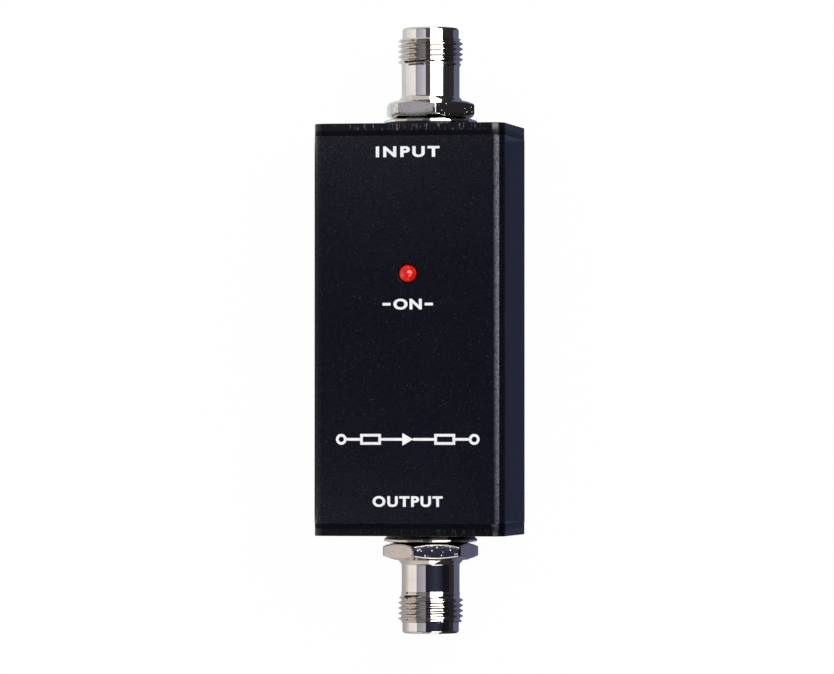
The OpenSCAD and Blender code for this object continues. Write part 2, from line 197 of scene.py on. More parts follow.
bm = bmesh.new()
bmesh.ops.create_grid(bm, x_segments=1, y_segments=1, size=FLOOR_HALF)
bmesh.ops.translate(bm, verts=bm.verts, vec=(0, 0, -FLOOR_GAP))
floor = bpy.data.objects.new("floor", bpy.data.meshes.new("floor"))
bm.to_mesh(floor.data)
bm.free()
floor.data.materials.append(paper)
scene.collection.objects.link(floor)
print("floor", 2 * FLOOR_HALF, "m wide")

# %% [markdown]
# One soft lamp stands at the right, towards the antenna jack. It gives the shapes a light side. What
# polished metal shows is not this lamp but the cards further down, so the lamp hides from reflections.

# %% Soft lamp
LAMP_TURN = math.radians(30)
LAMP_ALONG = 0.45
LAMP_DISTANCE = 0.9
LAMP_SIDE = 0.5
LAMP_WATTS = 3.2
key = bpy.data.objects.new("soft_lamp", bpy.data.lights.new("soft_lamp", "AREA"))
key.data.size = LAMP_SIDE
key.data.energy = LAMP_WATTS
lamp_way = Vector((math.sin(LAMP_TURN), LAMP_ALONG, math.cos(LAMP_TURN))).normalized()
key.matrix_world = (Matrix.Translation(lamp_way * LAMP_DISTANCE)
                    @ lamp_way.to_track_quat("Z", "Y").to_matrix().to_4x4())
key.visible_glossy = False
scene.collection.objects.link(key)
print("lamp at", [round(v, 2) for v in key.location])

# %% [markdown]
# A photographer shapes polished metal with cards around it: each card is seen in the metal as a stripe.
# On the jacks of the real object the stripes are white, grey, dark, bright, black and a cold grey. The
# cards here are arcs of a cylinder around the jacks' axis, made by spinning one edge. Their angles are
# counted from the camera to the right, and each card fades from its first colour to its second. Only
# reflections see them, so they throw no light or shadow.

# %% Cards
CARD_RADIUS = 0.6
CARD_REACH = 0.75
ARC_STEPS = 12


def hide_from_light(piece):
    for ray in ("camera", "diffuse", "transmission", "volume_scatter", "shadow"):
        setattr(piece, "visible_" + ray, False)


def card(bm, name, first, second, strength, how_far):
    shine = bpy.data.materials.new(name)
    shine.use_nodes = True
    tree = shine.node_tree
    tree.nodes.remove(tree.nodes["Principled BSDF"])
    shade = blend(tree, how_far(tree), (*first, 1), (*second, 1))
    glow = put(tree, "Emission", {"Color": shade, "Strength": strength})
    tree.links.new(glow.outputs[0], tree.nodes["Material Output"].inputs["Surface"])
    piece = bpy.data.objects.new(name, bpy.data.meshes.new(name))
    bm.to_mesh(piece.data)
    bm.free()
    piece.data.materials.append(shine)
    scene.collection.objects.link(piece)
    hide_from_light(piece)


def arc_card(name, start, end, low_y, high_y, first, second, strength):
    start, end = VIEW_TURN + math.radians(start), VIEW_TURN + math.radians(end)

    def how_far(tree):
        spot = object_spot(tree)
        across = combine(tree, "SUBTRACT", spot["X"], jack_x)
        above = combine(tree, "SUBTRACT", spot["Z"], jack_z)
        return ramp(tree, combine(tree, "ARCTAN2", across, above), start, end)

    bm = bmesh.new()
    way = Matrix.Rotation(start, 3, "Y") @ Vector((0, 0, CARD_RADIUS))
    ends = [bm.verts.new(way + Vector((jack_x, y, jack_z))) for y in (low_y, high_y)]
    edge = bm.edges.new(ends)
    bmesh.ops.spin(bm, geom=ends + [edge], cent=(jack_x, 0, jack_z), axis=(0, 1, 0),
                   angle=end - start, steps=ARC_STEPS)
    card(bm, name, first, second, strength, how_far)

# %% [markdown]
# A card is written as its label, its first and last angle in degrees, its two colours and its strength.
# The antenna jack has the softbox in front of it. The receiver jack only sees the dark room below it.
# The case sees the softbox from further off, so it is dimmer there, and so is all that lies to its left.

# %% Colours of the cards
ROW_START, ROW_END = -98, 82
GREY_START, GREY_END = -62, -19.4
BOX_START, BOX_END = -1, 49.7
FLAG_START = 50
DIM_TAN, DIM_ROOM = (0.75, 0.67, 0.58), (0.25, 0.25, 0.27)
DIM_LEFT = (("wall", ROW_START, GREY_START, DIM_TAN, DIM_TAN, 1),
            ("grey", GREY_START, GREY_END, (0.19, 0.19, 0.215), (0.23, 0.23, 0.25), 1))
ANTENNA_LEFT = (("wall", ROW_START, GREY_START, (1.02, 1.03, 1.03), (1.16, 1.17, 1.17), 1),
                ("grey", GREY_START, GREY_END, (0.42, 0.425, 0.52), (0.74, 0.75, 0.86), 1))
ANTENNA_GAP = ("gap", GREY_END, BOX_START, (0.08, 0.08, 0.112), (0.085, 0.087, 0.13), 1)
SOFTBOX = ("softbox", BOX_START, BOX_END, (1, 0.99, 0.97), (1, 0.98, 0.94), 10)
SOFTBOX_FOOT = (*SOFTBOX[:-1], 2.4)
ANTENNA_ROOM = ("room", BOX_START, BOX_END, DIM_ROOM, DIM_ROOM, 1)
ANTENNA_FLAG = ("flag", BOX_END, ROW_END, (0.038, 0.032, 0.034), (0.026, 0.029, 0.039), 1)

RECEIVER_LEFT = (("wall", ROW_START, -58, (1.06, 1.04, 1.05), (1.14, 1.1, 1.13), 1),
                 ("grey", -58, -20, (0.385, 0.39, 0.48), (0.57, 0.575, 0.68), 1))
DUSK = (0.02, 0.018, 0.026), (0.042, 0.048, 0.097)
RECEIVER_FLAG = ("flag", FLAG_START, ROW_END, (0.0105, 0.0095, 0.0125), (0.016, 0.0145, 0.02), 1)
RECEIVER_ROOM = (("gap", -20, 22, *DUSK, 1),
                 ("room", 22, FLAG_START, (0.042, 0.048, 0.094), (0.014, 0.015, 0.024), 1),
                 RECEIVER_FLAG)
LOW_LAMP = (("gap", -20, 4, *DUSK, 1),
            ("lamp", 4, 44, (1, 0.97, 0.92), (1, 0.97, 0.92), 3.2), RECEIVER_FLAG)

CASE_GREY, CASE_DARK, CASE_BLACK = (0.1, 0.1, 0.1), (0.06, 0.06, 0.08), (0.012, 0.011, 0.012)
CASE_LEFT = (("wall", ROW_START, GREY_START, CASE_GREY, CASE_GREY, 1),
             ("grey", GREY_START, -42, (0.1, 0.1, 0.11), (0.08, 0.08, 0.09), 1))
CASE_FLAG = ("flag", FLAG_START, ROW_END, CASE_BLACK, CASE_BLACK, 1)
CASE_BOX = (("gap", -42, 2, CASE_DARK, CASE_DARK, 1),
            ("softbox", 2, FLAG_START, (0.1, 0.105, 0.13), (1.0, 1.05, 1.36), 4.7), CASE_FLAG)
CASE_SHADE = (("gap", -42, FLAG_START, CASE_DARK, (0.04, 0.04, 0.06), 1), CASE_FLAG)
print("softbox", BOX_END - BOX_START, "degrees wide")

# %% [markdown]
# The two jacks and the case each mirror their own part of the set, so the cards come in sections along
# Y. The outer sections are only mirrored by slanted faces, such as the threads: they are dim and warm
# on the left, and one faint light shows in the lens.

# %% Cards in front of the object
SOFTBOX_TOP, ROOM_LOW, LIGHT_LOW = 0.52, -0.12, -0.5
JACK_PART_LOW, JACK_PART_HIGH = -85 * MM, 105 * MM
CASE_PART_LOW, CASE_PART_HIGH = -42 * MM, 64.6 * MM
CASE_FOOT = -46 * MM
SECTIONS = {
    "beyond_antenna": (SOFTBOX_TOP, CARD_REACH, (*DIM_LEFT, ANTENNA_GAP, ANTENNA_ROOM, ANTENNA_FLAG)),
    "above_antenna": (JACK_PART_HIGH, SOFTBOX_TOP, (*DIM_LEFT, ANTENNA_GAP, SOFTBOX, ANTENNA_FLAG)),
    "antenna": (CASE_PART_HIGH, JACK_PART_HIGH,
                (*ANTENNA_LEFT, ANTENNA_GAP, SOFTBOX_FOOT, ANTENNA_FLAG)),
    "case": (CASE_PART_LOW, CASE_PART_HIGH, (*CASE_LEFT, *CASE_BOX)),
    "case_foot": (CASE_FOOT, CASE_PART_LOW, (*CASE_LEFT, *CASE_SHADE)),
    "receiver": (JACK_PART_LOW, CASE_FOOT, (*RECEIVER_LEFT, *RECEIVER_ROOM)),
    "below_receiver": (ROOM_LOW, JACK_PART_LOW, (*DIM_LEFT, *RECEIVER_ROOM)),
    "low_light": (LIGHT_LOW, ROOM_LOW, (*DIM_LEFT, *LOW_LAMP)),
    "beyond_receiver": (-CARD_REACH, LIGHT_LOW, (*DIM_LEFT, *RECEIVER_ROOM)),
}
for section, (low_y, high_y, cards) in SECTIONS.items():
    for label, start, end, first, second, strength in cards:
        arc_card(section + "_" + label, start, end, low_y, high_y, first, second, strength)
print(len(SECTIONS), "sections of cards")

# %% [markdown]
# To the left of the jacks lies the paper, shaded close to the object. To the right the metal and the
# side of the case look down on the floor in the object's shade, painted as flat cards: a cold grey one
# next to each jack, darker ones next to the case and its end plates, and black ones further out.

# %% Cards on the floor
FLOOR_CARD_LIFT = 0.02 * MM
COLD_EDGE, COLD_START = 34 * MM, 36.2 * MM
JACK_END = 56 * MM
SHADE_REACH, SHADE_FADE = 140 * MM, 110 * MM
# Painted shade: the plate, cold and black floor cards stand for the shaded floor next to the object.
PLATE_FLOOR_SHADE, BLACK_FLOOR = (0.066, 0.075, 0.125), (0.035, 0.032, 0.04)
JACK_FLOOR = {
    "antenna": ((0.73, 0.76, 0.78), (1.02, 1.03, 1.03), 25 * MM, (0.146, 0.161, 0.257)),
    "receiver": ((0.48, 0.455, 0.47), (0.84, 0.78, 0.75), 15 * MM, (0.146, 0.154, 0.257)),
}


def flat_card(name, low, high, first, second=None, fade_x=(0, 1), strength=1.0, tilt=0.0, lift=0.0):
    bm = bmesh.new()
    bmesh.ops.create_grid(bm, x_segments=1, y_segments=1, size=1)
    size = [(b - a) / 2 for a, b in zip(low, high)]
    bmesh.ops.scale(bm, verts=bm.verts, vec=(size[0], size[1] / math.cos(tilt), 1))
    bmesh.ops.rotate(bm, verts=bm.verts, cent=(0, 0, 0), matrix=Matrix.Rotation(tilt, 3, "X"))
    middle = [(a + b) / 2 for a, b in zip(low, high)]
    lift += size[1] * math.tan(abs(tilt)) + FLOOR_CARD_LIFT
    bmesh.ops.translate(bm, verts=bm.verts, vec=(*middle, lift))
    card(bm, name, first, second or first, strength,
         lambda tree: ramp(tree, object_spot(tree)["X"], *fade_x))


for end, side in ENDS:
    shaded, lit, fade_start, cold = JACK_FLOOR[end]
    strips = (("shade", -CARD_RADIUS, jack_x, plate_face_y, SHADE_REACH, shaded, lit),
              ("plate", 0, COLD_EDGE, case_end_y, COLD_START, PLATE_FLOOR_SHADE, PLATE_FLOOR_SHADE),
              ("cold", jack_x, COLD_EDGE, COLD_START, JACK_END, cold, cold),
              ("black", jack_x, COLD_EDGE, JACK_END, CARD_REACH, BLACK_FLOOR, BLACK_FLOOR))
    for label, low_x, high_x, start, stop, first, second in strips:
        low_y, high_y = sorted((side * start, side * stop))
        flat_card(end + "_floor_" + label, (low_x, low_y), (high_x, high_y), first, second,
                  (jack_x - fade_start, jack_x - SHADE_FADE))
flat_card("case_floor_shade", (-CARD_RADIUS, -case_end_y), (0, case_end_y), (0.12, 0.12, 0.13))
flat_card("case_floor_cold_shade", (0, -case_end_y), (COLD_EDGE, case_end_y), (0.036, 0.041, 0.079))
flat_card("black_floor", (COLD_EDGE, -CARD_REACH), (CARD_RADIUS, CARD_REACH), BLACK_FLOOR)
print("cold floor", round(COLD_EDGE / MM, 1), "mm wide")

# %% [markdown]
# Cones and chamfers look past these cards towards the two ends of the set. Three slanted cards rise
# from the floor at each end: tan on the left, bright in the middle and dark on the right. A dim card
# continues them upwards, so that the lens, which stands higher, shows no second softbox.

# %% Cards at the ends
END_NEAR, END_MIDDLE, END_FAR = 0.14, 0.25, 0.9
END_TILT = math.radians(40)
END_SIDE, BRIGHT_SIDE = 1.0, 0.047
END_CARDS = (("tan", -END_SIDE, 0.0, (0.76, 0.71, 0.67), 1.0),
             ("bright", 0.0, BRIGHT_SIDE, (1, 0.98, 0.93), 2.2),
             ("dark", BRIGHT_SIDE, END_SIDE, (0.04, 0.036, 0.035), 1.0))
END_DIM = (0.16, 0.155, 0.15)


def end_card(name, low_x, high_x, near, far, side, colour, strength=1.0):
    low_y, high_y = sorted((side * near, side * far))
    flat_card(name, (low_x, low_y), (high_x, high_y), colour, strength=strength, tilt=side * END_TILT,
              lift=(near - END_NEAR) * math.tan(END_TILT))


for end, side in ENDS:
    for label, low_x, high_x, colour, strength in END_CARDS:
        end_card(end + "_end_" + label, low_x, high_x, END_NEAR, END_MIDDLE, side, colour, strength)
    end_card(end + "_end_dim", -END_SIDE, END_SIDE, END_MIDDLE, END_FAR, side, END_DIM)
print("end cards from", END_NEAR, "m to", END_FAR, "m")

# %% [markdown]
# Paint, plating and plastic all have some fine grain, a few larger specks and a slow change of tone.
# One node group makes the three from noise, so each finish below only says how fine its grain is. It
# reads Object coordinates, which are metres here, so the grain keeps its real size on every piece.

# %% Node group for grain
NOISE_LOW, NOISE_HIGH = 0.3, 0.7
SPECK_LOW, SPECK_HIGH = 0.66, 0.76

grain_group = bpy.data.node_groups.new("surface_grain", "ShaderNodeTree")
grain_group.interface.new_socket("Grains per mm", in_out="INPUT", socket_type="NodeSocketFloat")
for label in ("Cloud", "Grain", "Specks"):
    grain_group.interface.new_socket(label, in_out="OUTPUT", socket_type="NodeSocketFloat")
group_in = grain_group.nodes.new("NodeGroupInput")
group_out = grain_group.nodes.new("NodeGroupOutput")
where = put(grain_group, "TexCoord").outputs["Object"]


def grain_noise(share, detail):
    scale = combine(grain_group, "MULTIPLY", group_in.outputs[0], share / MM)
    return put(grain_group, "TexNoise", {"Vector": where, "Scale": scale, "Detail": detail,
                                         "Roughness": 0.6}).outputs["Fac"]


cloud = ramp(grain_group, grain_noise(0.05, 3), NOISE_LOW, NOISE_HIGH)
specks = ramp(grain_group, grain_noise(1.2, 1), SPECK_LOW, SPECK_HIGH)
grain_group.links.new(cloud, group_out.inputs["Cloud"])
grain_group.links.new(grain_noise(1.0, 2), group_out.inputs["Grain"])
grain_group.links.new(specks, group_out.inputs["Specks"])
print("grain group has", len(grain_group.nodes), "nodes")

# %% [markdown]
# A finish mixes two tones by the slow change, varies its roughness by the grain and lets the grain
# raise the surface a little. Numbers that are the same all over, such as the specular level, are set
# on the shader itself.

# %% A helper for finishes
def finish(name, dark, light, grains, rough, relief_mm=0.004, metallic=0.0, **constants):
    made = bpy.data.materials.new(name)
    made.use_nodes = True
    tree = made.node_tree
    shader = tree.nodes["Principled BSDF"]
    shader.inputs["Metallic"].default_value = metallic
    for label, value in constants.items():
        shader.inputs[label.replace("_", " ")].default_value = value
    grain = put(tree, "Group", {"Grains per mm": grains}, node_tree=grain_group)
    grain.name = "grain"
    tone = blend(tree, grain.outputs["Cloud"], (*dark, 1), (*light, 1))
    tone.node.name = "tone"
    tree.links.new(tone, shader.inputs["Base Color"])
    gloss = ramp(tree, grain.outputs["Grain"], NOISE_LOW, NOISE_HIGH, *rough)
    tree.links.new(gloss, shader.inputs["Roughness"])
    raised = put(tree, "Bump", {"Height": grain.outputs["Grain"], "Strength": 1.0,
                                "Distance": relief_mm * MM})
    raised.name = "raised"
    tree.links.new(raised.outputs[0], shader.inputs["Normal"])
    return made

# %% [markdown]
# The case is painted with a fine powder coat: almost black, slightly blue, and so matt that only its
# rounded edge catches the softbox. The specks are grains of powder that stand out of the coat. The
# resin between them forms an uneven clear skin, so the bright line on the rounded edge looks grainy.

# %% Powder coat
SPECK_COLOUR = (0.02, 0.02, 0.028)
SKIN, SKIN_GRAINS = 0.8, 3.4
SKIN_LOW, SKIN_HIGH = 0.41, 0.59


def tint(made, share, colour):
    tree = made.node_tree
    tinted = blend(tree, share, tree.nodes["tone"].outputs[2], (*colour, 1))
    tree.links.new(tinted, tree.nodes["Principled BSDF"].inputs["Base Color"])


case_paint = finish("powder_coat", (0.0022, 0.0022, 0.0062), (0.0034, 0.0034, 0.0090), 2.4,
                    (0.12, 0.2), 0.014, Specular_IOR_Level=0.3, Coat_Roughness=0.16)
tree = case_paint.node_tree
tint(case_paint, tree.nodes["grain"].outputs["Specks"], SPECK_COLOUR)
powder = put(tree, "Group", {"Grains per mm": SKIN_GRAINS}, node_tree=grain_group)
skin = ramp(tree, powder.outputs["Grain"], SKIN_LOW, SKIN_HIGH, 0.0, SKIN)
tree.links.new(skin, tree.nodes["Principled BSDF"].inputs["Coat Weight"])
print(case_paint.name, "has", len(tree.nodes), "nodes")

# %% [markdown]
# Some pieces are already right in the CAD model, but their meshes are loose triangles with knife-sharp
# edges. A copy is merged and its flat triangles are joined. Then its rim can be picked by where it lies:
# at a given Y, on a rectangle with round corners. Weighted normals keep flat faces flat.

# %% Helpers for copied pieces
HAIR = 0.001 * MM
ON_LINE = 0.03 * MM
FLAT_ANGLE = math.radians(0.5)


def merged_copy(node):
    bm = bmesh.new()
    bm.from_mesh(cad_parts[node].data)
    bmesh.ops.remove_doubles(bm, verts=bm.verts, dist=HAIR)
    bmesh.ops.dissolve_limit(bm, angle_limit=FLAT_ANGLE, verts=bm.verts, edges=bm.edges)
    return bm


def on_outline(vert, corner_r):
    half_w = (case_high.x - case_low.x) / 2 - corner_r
    half_d = (case_high.z - case_low.z) / 2 - corner_r
    off_x = max(abs(vert.co.x) - half_w, 0)
    off_z = max(abs(vert.co.z - jack_z) - half_d, 0)
    return abs(math.hypot(off_x, off_z) - corner_r) < ON_LINE


def rim_edges(bm, y, corner_r):
    return [edge for edge in bm.edges
            if all(abs(vert.co.y - y) < HAIR and on_outline(vert, corner_r) for vert in edge.verts)]


def round_edges(bm, edges, width, segments=3):
    return bmesh.ops.bevel(bm, geom=edges, offset=width, offset_type="OFFSET", segments=segments,
                           profile=0.5, affect="EDGES", material=-1, clamp_overlap=True)["faces"]


def make_piece(bm, name, materials, node, sharp=30, soft=()):
    for face in bm.faces:
        face.smooth = True
    for edge in bm.edges:
        edge.smooth = edge in soft or edge.calc_face_angle(math.pi) < math.radians(sharp)
    piece = bpy.data.objects.new(name, bpy.data.meshes.new(name))
    bm.to_mesh(piece.data)
    bm.free()
    for material in materials:
        piece.data.materials.append(material)
    scene.collection.objects.link(piece)
    even = piece.modifiers.new("even_normals", "WEIGHTED_NORMAL")
    even.keep_sharp = True
    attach(piece, "root")
    if node:
        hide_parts(node)
    print(name, len(piece.data.polygons), "faces")

# %% [markdown]
# The case is an extruded tube with screw channels and board rails, which the CAD model has. The saw-cut
# ends and the lamp's hole get a small bevel, because no real edge is perfectly sharp.

# %% Case
CASE_CORNER_R = 2 * MM
CASE_END_BEVEL = 0.05 * MM
LAMP_Y = 9.5 * MM
LAMP_HOLE_R = 1.75 * MM
HOLE_BEVEL = 0.06 * MM


def on_hole_rim(vert):
    radius = math.hypot(vert.co.x, vert.co.y - LAMP_Y)
    return abs(vert.co.z - front_z) < HAIR and abs(radius - LAMP_HOLE_R) < ON_LINE


bm = merged_copy("case_tube")
for end_y in (-case_end_y, case_end_y):
    round_edges(bm, rim_edges(bm, end_y, CASE_CORNER_R), CASE_END_BEVEL)
hole_rim = [edge for edge in bm.edges if all(on_hole_rim(vert) for vert in edge.verts)]
round_edges(bm, hole_rim, HOLE_BEVEL)
make_piece(bm, "painted_case", [case_paint], "case_tube")

# %% [markdown]
# The end plates are sheared from painted sheet. Tools have slipped along their outer edge next to the
# jacks, so the paint is chipped there down to pale metal, mostly on the antenna plate. The chips are
# noise that is squeezed along X and Z and stretched along Y. Masks keep them on the cut edge, on its
# outer half and near the jack.

# %% End plate finish
CHIPS_ACROSS, CHIPS_ALONG = 3.6 / MM, 0.6 / MM
CHIP_LOW, CHIP_HIGH = 0.58, 0.68
CHIP_BAND = 1.3 * MM, 1.0 * MM
CHIP_REACH = 15 * MM, 9 * MM
CUT_EDGE = 0.3, 0.1
PALE_METAL = (0.17, 0.17, 0.175)
PLATE_GRAINS = 6.0


def plate_coat(name, dark, light, chip_share):
    made = finish(name, dark, light, PLATE_GRAINS, (0.14, 0.24), 0.006, Specular_IOR_Level=0.3)
    tree = made.node_tree
    place = put(tree, "TexCoord")
    spot = object_spot(tree)
    facing = put(tree, "SeparateXYZ", {"Vector": place.outputs["Normal"]})
    lines = put(tree, "Mapping", {"Vector": place.outputs["Object"],
                                  "Scale": (CHIPS_ACROSS, CHIPS_ALONG, CHIPS_ACROSS)})
    chips = put(tree, "TexNoise", {"Vector": lines.outputs[0], "Scale": 1.0, "Detail": 2,
                                   "Roughness": 0.7})
    on_cut_edge = ramp(tree, distance_from(tree, facing.outputs["Y"]), *CUT_EDGE)
    near_jack = ramp(tree, distance_from(tree, spot["X"], jack_x), *CHIP_REACH)
    outer_half = ramp(tree, distance_from(tree, spot["Y"]), *[plate_face_y - y for y in CHIP_BAND])
    chipped = ramp(tree, chips.outputs["Fac"], CHIP_LOW, CHIP_HIGH, 0.0, chip_share)
    for mask in (on_cut_edge, near_jack, outer_half):
        chipped = combine(tree, "MULTIPLY", chipped, mask)
    tint(made, chipped, PALE_METAL)
    return made


# The receiver plate's paint is darker than the antenna plate's: painted shade, because the softbox
# stands towards the antenna end.
plate_paint = {
    "antenna": plate_coat("antenna_plate_coat", (0.0024, 0.0024, 0.0050), (0.0038, 0.0038, 0.0074), 1.0),
    "receiver": plate_coat("receiver_plate_shaded_coat", (0.0010, 0.0010, 0.0032), (0.0018, 0.0018, 0.0048),
                           0.15),
}
# Painted shade: the band along the seam gets a darker, more matt paint.
seam_shade_paint = finish("plate_seam_painted_shade", (0.0010, 0.0010, 0.0034), (0.0016, 0.0016, 0.0048), PLATE_GRAINS,
                    (0.2, 0.3), 0.006, Specular_IOR_Level=0.15)
print(len(plate_paint), "plate finishes")

# %% [markdown]
# The plates are copies of the CAD plates as well, because their countersunk holes are right. A cut
# parts the cut edge in two bands. The one next to the case gets a darker, more matt paint: painted
# shade for the seam between plate and case, which shows as a dark line along the seam.

# %% End plates
PLATE_CORNER_R = 2.3 * MM
SEAM_BAND = 0.85 * MM
INNER_BEVEL, OUTER_BEVEL = 0.1 * MM, 0.14 * MM


def in_seam_band(face, inner_y):
    in_band = all(abs(vert.co.y - inner_y) < SEAM_BAND + HAIR for vert in face.verts)
    return in_band and abs(face.normal.y) < 0.9


for end, side in ENDS:
    bm = merged_copy(end + "_end_plate")
    inner_y, outer_y = side * case_end_y, side * plate_face_y
    bmesh.ops.bisect_plane(bm, geom=bm.verts[:] + bm.edges[:] + bm.faces[:], dist=0.1 * HAIR,
                           plane_co=(0, inner_y + side * SEAM_BAND, 0), plane_no=(0, side, 0))
    round_edges(bm, rim_edges(bm, inner_y, PLATE_CORNER_R), INNER_BEVEL)
    round_edges(bm, rim_edges(bm, outer_y, PLATE_CORNER_R), OUTER_BEVEL)
    for face in bm.faces:
        face.material_index = in_seam_band(face, inner_y)
    make_piece(bm, end + "_cover", [plate_paint[end], seam_shade_paint], end + "_end_plate")

# %% [markdown]
# The jacks are turned from hexagon bar and plated with nickel. Polished nickel is a warm mirror, with
# a slow change of polish and very fine turning marks. The washers have a brighter plating. The flats of
# the hexagon are milled, so they are coarser: each cell of a Voronoi pattern puts one pit on them, and
# the pits catch the light as sparkles.

# %% Nickel
NICKEL_DARK, NICKEL_LIGHT = (0.66, 0.625, 0.585), (0.74, 0.705, 0.66)
PIT_R, PIT_DEPTH, PITS_PER_MM = 0.112 * MM, 0.027 * MM, 1.9

nickel = finish("nickel", NICKEL_DARK, NICKEL_LIGHT, 4.0, (0.02, 0.04), 0.0003, 1.0)
washer_nickel = finish("washer_nickel", (0.80, 0.78, 0.76), (0.88, 0.86, 0.84), 3.0, (0.03, 0.06),
                       0.0002, 1.0)
milled_nickel = finish("milled_nickel", (0.565, 0.525, 0.48), (0.635, 0.595, 0.54), 4.5, (0.02, 0.045),
                       0.0006, 1.0)
tree = milled_nickel.node_tree
cells = put(tree, "TexVoronoi", {"Vector": put(tree, "TexCoord").outputs["Object"],
                                 "Scale": PITS_PER_MM / MM})
pit = ramp(tree, cells.outputs["Distance"], PIT_R * PITS_PER_MM / MM, 0)
pits = put(tree, "Bump", {"Height": pit, "Distance": PIT_DEPTH,
                          "Normal": tree.nodes["raised"].outputs[0]}, invert=True)
tree.links.new(pits.outputs[0], tree.nodes["Principled BSDF"].inputs["Normal"])
print("pits", round(2 * PIT_R / MM, 2), "mm wide")

# %% [markdown]
# A thread is one profile that turns and climbs at once. The spin operator does just that when it gets
# an offset for each step. Neighbouring turns then share their points, which are merged. Two cuts give
# the thread its length, and points outside a cone at each end are drawn in, as a chamfer does. The
# flanks lean about 30 degrees each. In such a groove light is mirrored three times, so the thread shows
# the same stripes as the barrel, but darker and warmer, with no finish of its own.

# %% Thread of a jack
RING_STEPS = 120
PITCH = 0.907 * MM
CREST_R, ROOT_R = 5.555 * MM, 5.0 * MM
CREST_SHARE = 0.14
THREAD_LOW, THREAD_HIGH = 10.05 * MM, 14.9 * MM
THREAD_CHAMFER, LEAD_IN = 0.35 * MM, 0.45 * MM
CROWN, HOLLOW = 0.012 * MM, 0.012 * MM
FLANK_TURN = math.radians(29)
SEAM_MERGE = 0.002 * MM


def thread_profile():
    flank = (CREST_R - ROOT_R) * math.tan(FLANK_TURN)
    crest = CREST_SHARE * PITCH
    root = PITCH - crest - 2 * flank
    steps = (-0.5, -0.25, 0, 0.25, 0.5)
    hollow = [(ROOT_R + HOLLOW * 4 * u * u, root * (u + 0.5)) for u in steps]
    crown = [(CREST_R - CROWN * 4 * u * u, root + flank + crest * (u + 0.5)) for u in steps]
    return hollow + crown + [(hollow[0][0], PITCH)]


def cut_thread(bm, start_turn):
    turns = math.ceil((THREAD_HIGH - THREAD_LOW) / PITCH) + 2
    low = THREAD_LOW - 1.5 * PITCH
    around = Matrix.Rotation(start_turn, 3, "Z")
    line = [bm.verts.new(around @ Vector((radius, 0, low + height)))
            for radius, height in thread_profile()]
    edges = [bm.edges.new(pair) for pair in zip(line, line[1:])]
    bmesh.ops.spin(bm, geom=line + edges, cent=(0, 0, 0), axis=(0, 0, 1),
                   dvec=(0, 0, PITCH / RING_STEPS), angle=2 * math.pi * turns, steps=RING_STEPS * turns)
    bmesh.ops.remove_doubles(bm, verts=bm.verts, dist=SEAM_MERGE)
    for height, way in ((THREAD_LOW, -1), (THREAD_HIGH, 1)):
        everything = bm.verts[:] + bm.edges[:] + bm.faces[:]
        bmesh.ops.bisect_plane(bm, geom=everything, plane_co=(0, 0, height), plane_no=(0, 0, way),
                               clear_outer=True)
    for vert in bm.verts:
        radius = vert.co.xy.length
        to_end = min(vert.co.z - THREAD_LOW - LEAD_IN, THREAD_HIGH - vert.co.z)
        limit = max(CREST_R - THREAD_CHAMFER + to_end, ROOT_R)
        if radius > limit:
            vert.co.xy *= limit / radius
    return [edge for edge in bm.edges if edge.is_boundary]

# %% [markdown]
# The rest of the jack is one ring of edges that is extruded again and again: along the barrel, over
# the cone, around the hexagon, down the shank, up through the bore and over the rim to the nose. One
# helper sets a ring's radius and height, the other extrudes the ring first.

# %% Helpers for ring shapes
def set_ring(verts, radius, height):
    for vert in verts:
        turn = math.atan2(vert.co.y, vert.co.x)
        r = radius(turn) if callable(radius) else radius
        h = height(r) if callable(height) else height
        vert.co = (r * math.cos(turn), r * math.sin(turn), h)


def grow_ring(bm, edges, radius, height):
    made = bmesh.ops.extrude_edge_only(bm, edges=edges)["geom"]
    verts = {item for item in made if isinstance(item, bmesh.types.BMVert)}
    set_ring(verts, radius, height)
    return [item for item in made if isinstance(item, bmesh.types.BMEdge) and set(item.verts) <= verts]

# %% [markdown]
# All heights of a jack are counted from the outer face of its end plate. For the hexagon each point of
# the ring moves out to the nearest flat, and its height follows a cone, which gives the arcs of a
# chamfered nut. The ring's first point lies on a corner of the hexagon. One corner of the antenna jack
# is worn round, where a spanner has slipped.

# %% Shape of a jack
SIXTH = math.radians(60)
HEX_FLAT_R = 14.3 / 2 * MM
HEX_CORNER_R = HEX_FLAT_R / math.cos(SIXTH / 2)
HEX_FACE_R = HEX_FLAT_R - 0.85 * MM
HEX_DROP = 0.7 * MM
WORN_R = 2.7 * MM
HEX_LOW, HEX_HIGH = 1.2 * MM, 4.2 * MM
CONE_R, CONE_HIGH = 5.63 * MM, 4.98 * MM
BARREL_R = 4.975 * MM
NOSE_R, NOSE_CHAMFER, RIM = 4.85 * MM, 0.3 * MM, 16.8 * MM
MOUTH_R, MOUTH_LOW = 4.3 * MM, 13.8 * MM
SOCKET_R, SOCKET_LOW = 4.05 * MM, 8.4 * MM
SEAT_R = 3.3 * MM
SHANK_R, SHANK_FLAT, SHANK_LOW = 4.75 * MM, 0.6 * MM, -5.7 * MM


def hexagon(corner_turn, worn_turn):
    centre = (HEX_FLAT_R - WORN_R) / math.cos(SIXTH / 2)
    worn_reach = SIXTH / 2 - math.atan(math.tan(SIXTH / 2) * (1 - WORN_R / HEX_FLAT_R))

    def radius(turn):
        off = abs((turn - worn_turn + math.pi) % (2 * math.pi) - math.pi) if worn_turn else math.pi
        if off < worn_reach:
            return centre * math.cos(off) + math.sqrt(WORN_R ** 2 - (centre * math.sin(off)) ** 2)
        return HEX_FLAT_R / math.cos((turn - corner_turn) % SIXTH - SIXTH / 2)

    return radius


def drop(radius):
    return HEX_DROP * (radius - HEX_FACE_R) / (HEX_CORNER_R - HEX_FACE_R)


def shank(turn):
    across = math.cos(turn)
    return min(SHANK_R, (SHANK_R - SHANK_FLAT) / across) if across > 0.1 else SHANK_R


